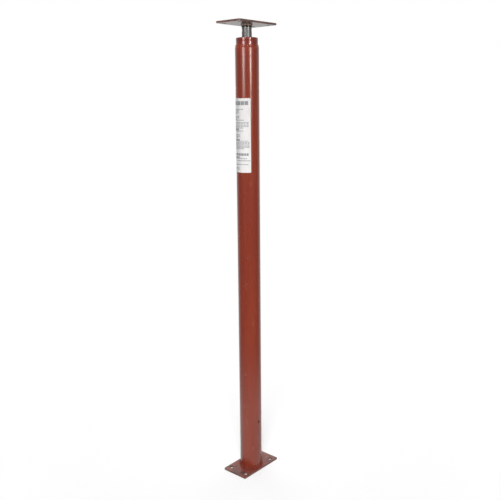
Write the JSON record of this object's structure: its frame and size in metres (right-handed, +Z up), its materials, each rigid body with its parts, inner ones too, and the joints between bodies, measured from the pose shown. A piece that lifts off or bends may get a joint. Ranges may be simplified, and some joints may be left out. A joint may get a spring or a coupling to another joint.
{
  "type": "adjustable steel prop",
  "caption": "Telescoping round steel post with rectangular end plates and a screw head that sets its height.",
  "frame": {"origin": "centre of the base plate's underside, on the floor", "axes": "+Z up along the post, +X along the long side of the plates, +Y along their short side"},
  "size_m": [0.1778, 0.0984, 1.5206],
  "materials": {
    "tube_paint": "red oxide paint, semi-gloss, on rolled steel tube",
    "inner_paint": "the same red paint, a little duller where the tubes slide",
    "plate_steel": "hot-rolled flat bar with thin dark brown-grey paint",
    "head_steel": "hot-rolled flat bar with thin dark brown-grey paint",
    "weld_steel": "rippled weld metal under paint",
    "nut_steel": "bare forged steel",
    "screw_steel": "bare rolled steel thread, lightly oiled",
    "washer_steel": "dark oiled spring steel"
  },
  "bodies": {
    "post": {"base_plate": "plate_steel", "foot_weld": "weld_steel", "outer_tube": "tube_paint"},
    "inner": {"inner_tube": "inner_paint", "nut_cap": "inner_paint", "screw_nut": "nut_steel", "nut_weld": "weld_steel"},
    "bearing": {"thrust_washer": "washer_steel"},
    "screw": {"adjusting_screw": "screw_steel", "stop_washer": "nut_steel", "stop_pin": "nut_steel"},
    "head": {"head_socket": "head_steel", "socket_weld": "weld_steel", "top_plate": "head_steel"}
  },
  "joints": [
    {"name": "tube_extend", "type": "slide", "parent": "post", "child": "inner", "axis": [0, 0, 1], "range_m": [0, 1.016]},
    {"name": "head_rise", "type": "slide", "parent": "inner", "child": "bearing", "axis": [0, 0, 1], "range_m": [-0.014, 0.052]},
    {"name": "screw_turn", "type": "hinge", "parent": "bearing", "child": "screw", "pos_m": [0, 0, 1.50705], "axis": [0, 0, 1], "range_deg": [-995, 3690]},
    {"name": "head_swivel", "type": "hinge", "parent": "bearing", "child": "head", "pos_m": [0, 0, 1.50925], "axis": [0, 0, 1], "continuous": true}
  ],
  "couplings": [
    {"joint": "screw_turn", "follows": "head_rise", "rad_per_m": 1236.8}
  ]
}
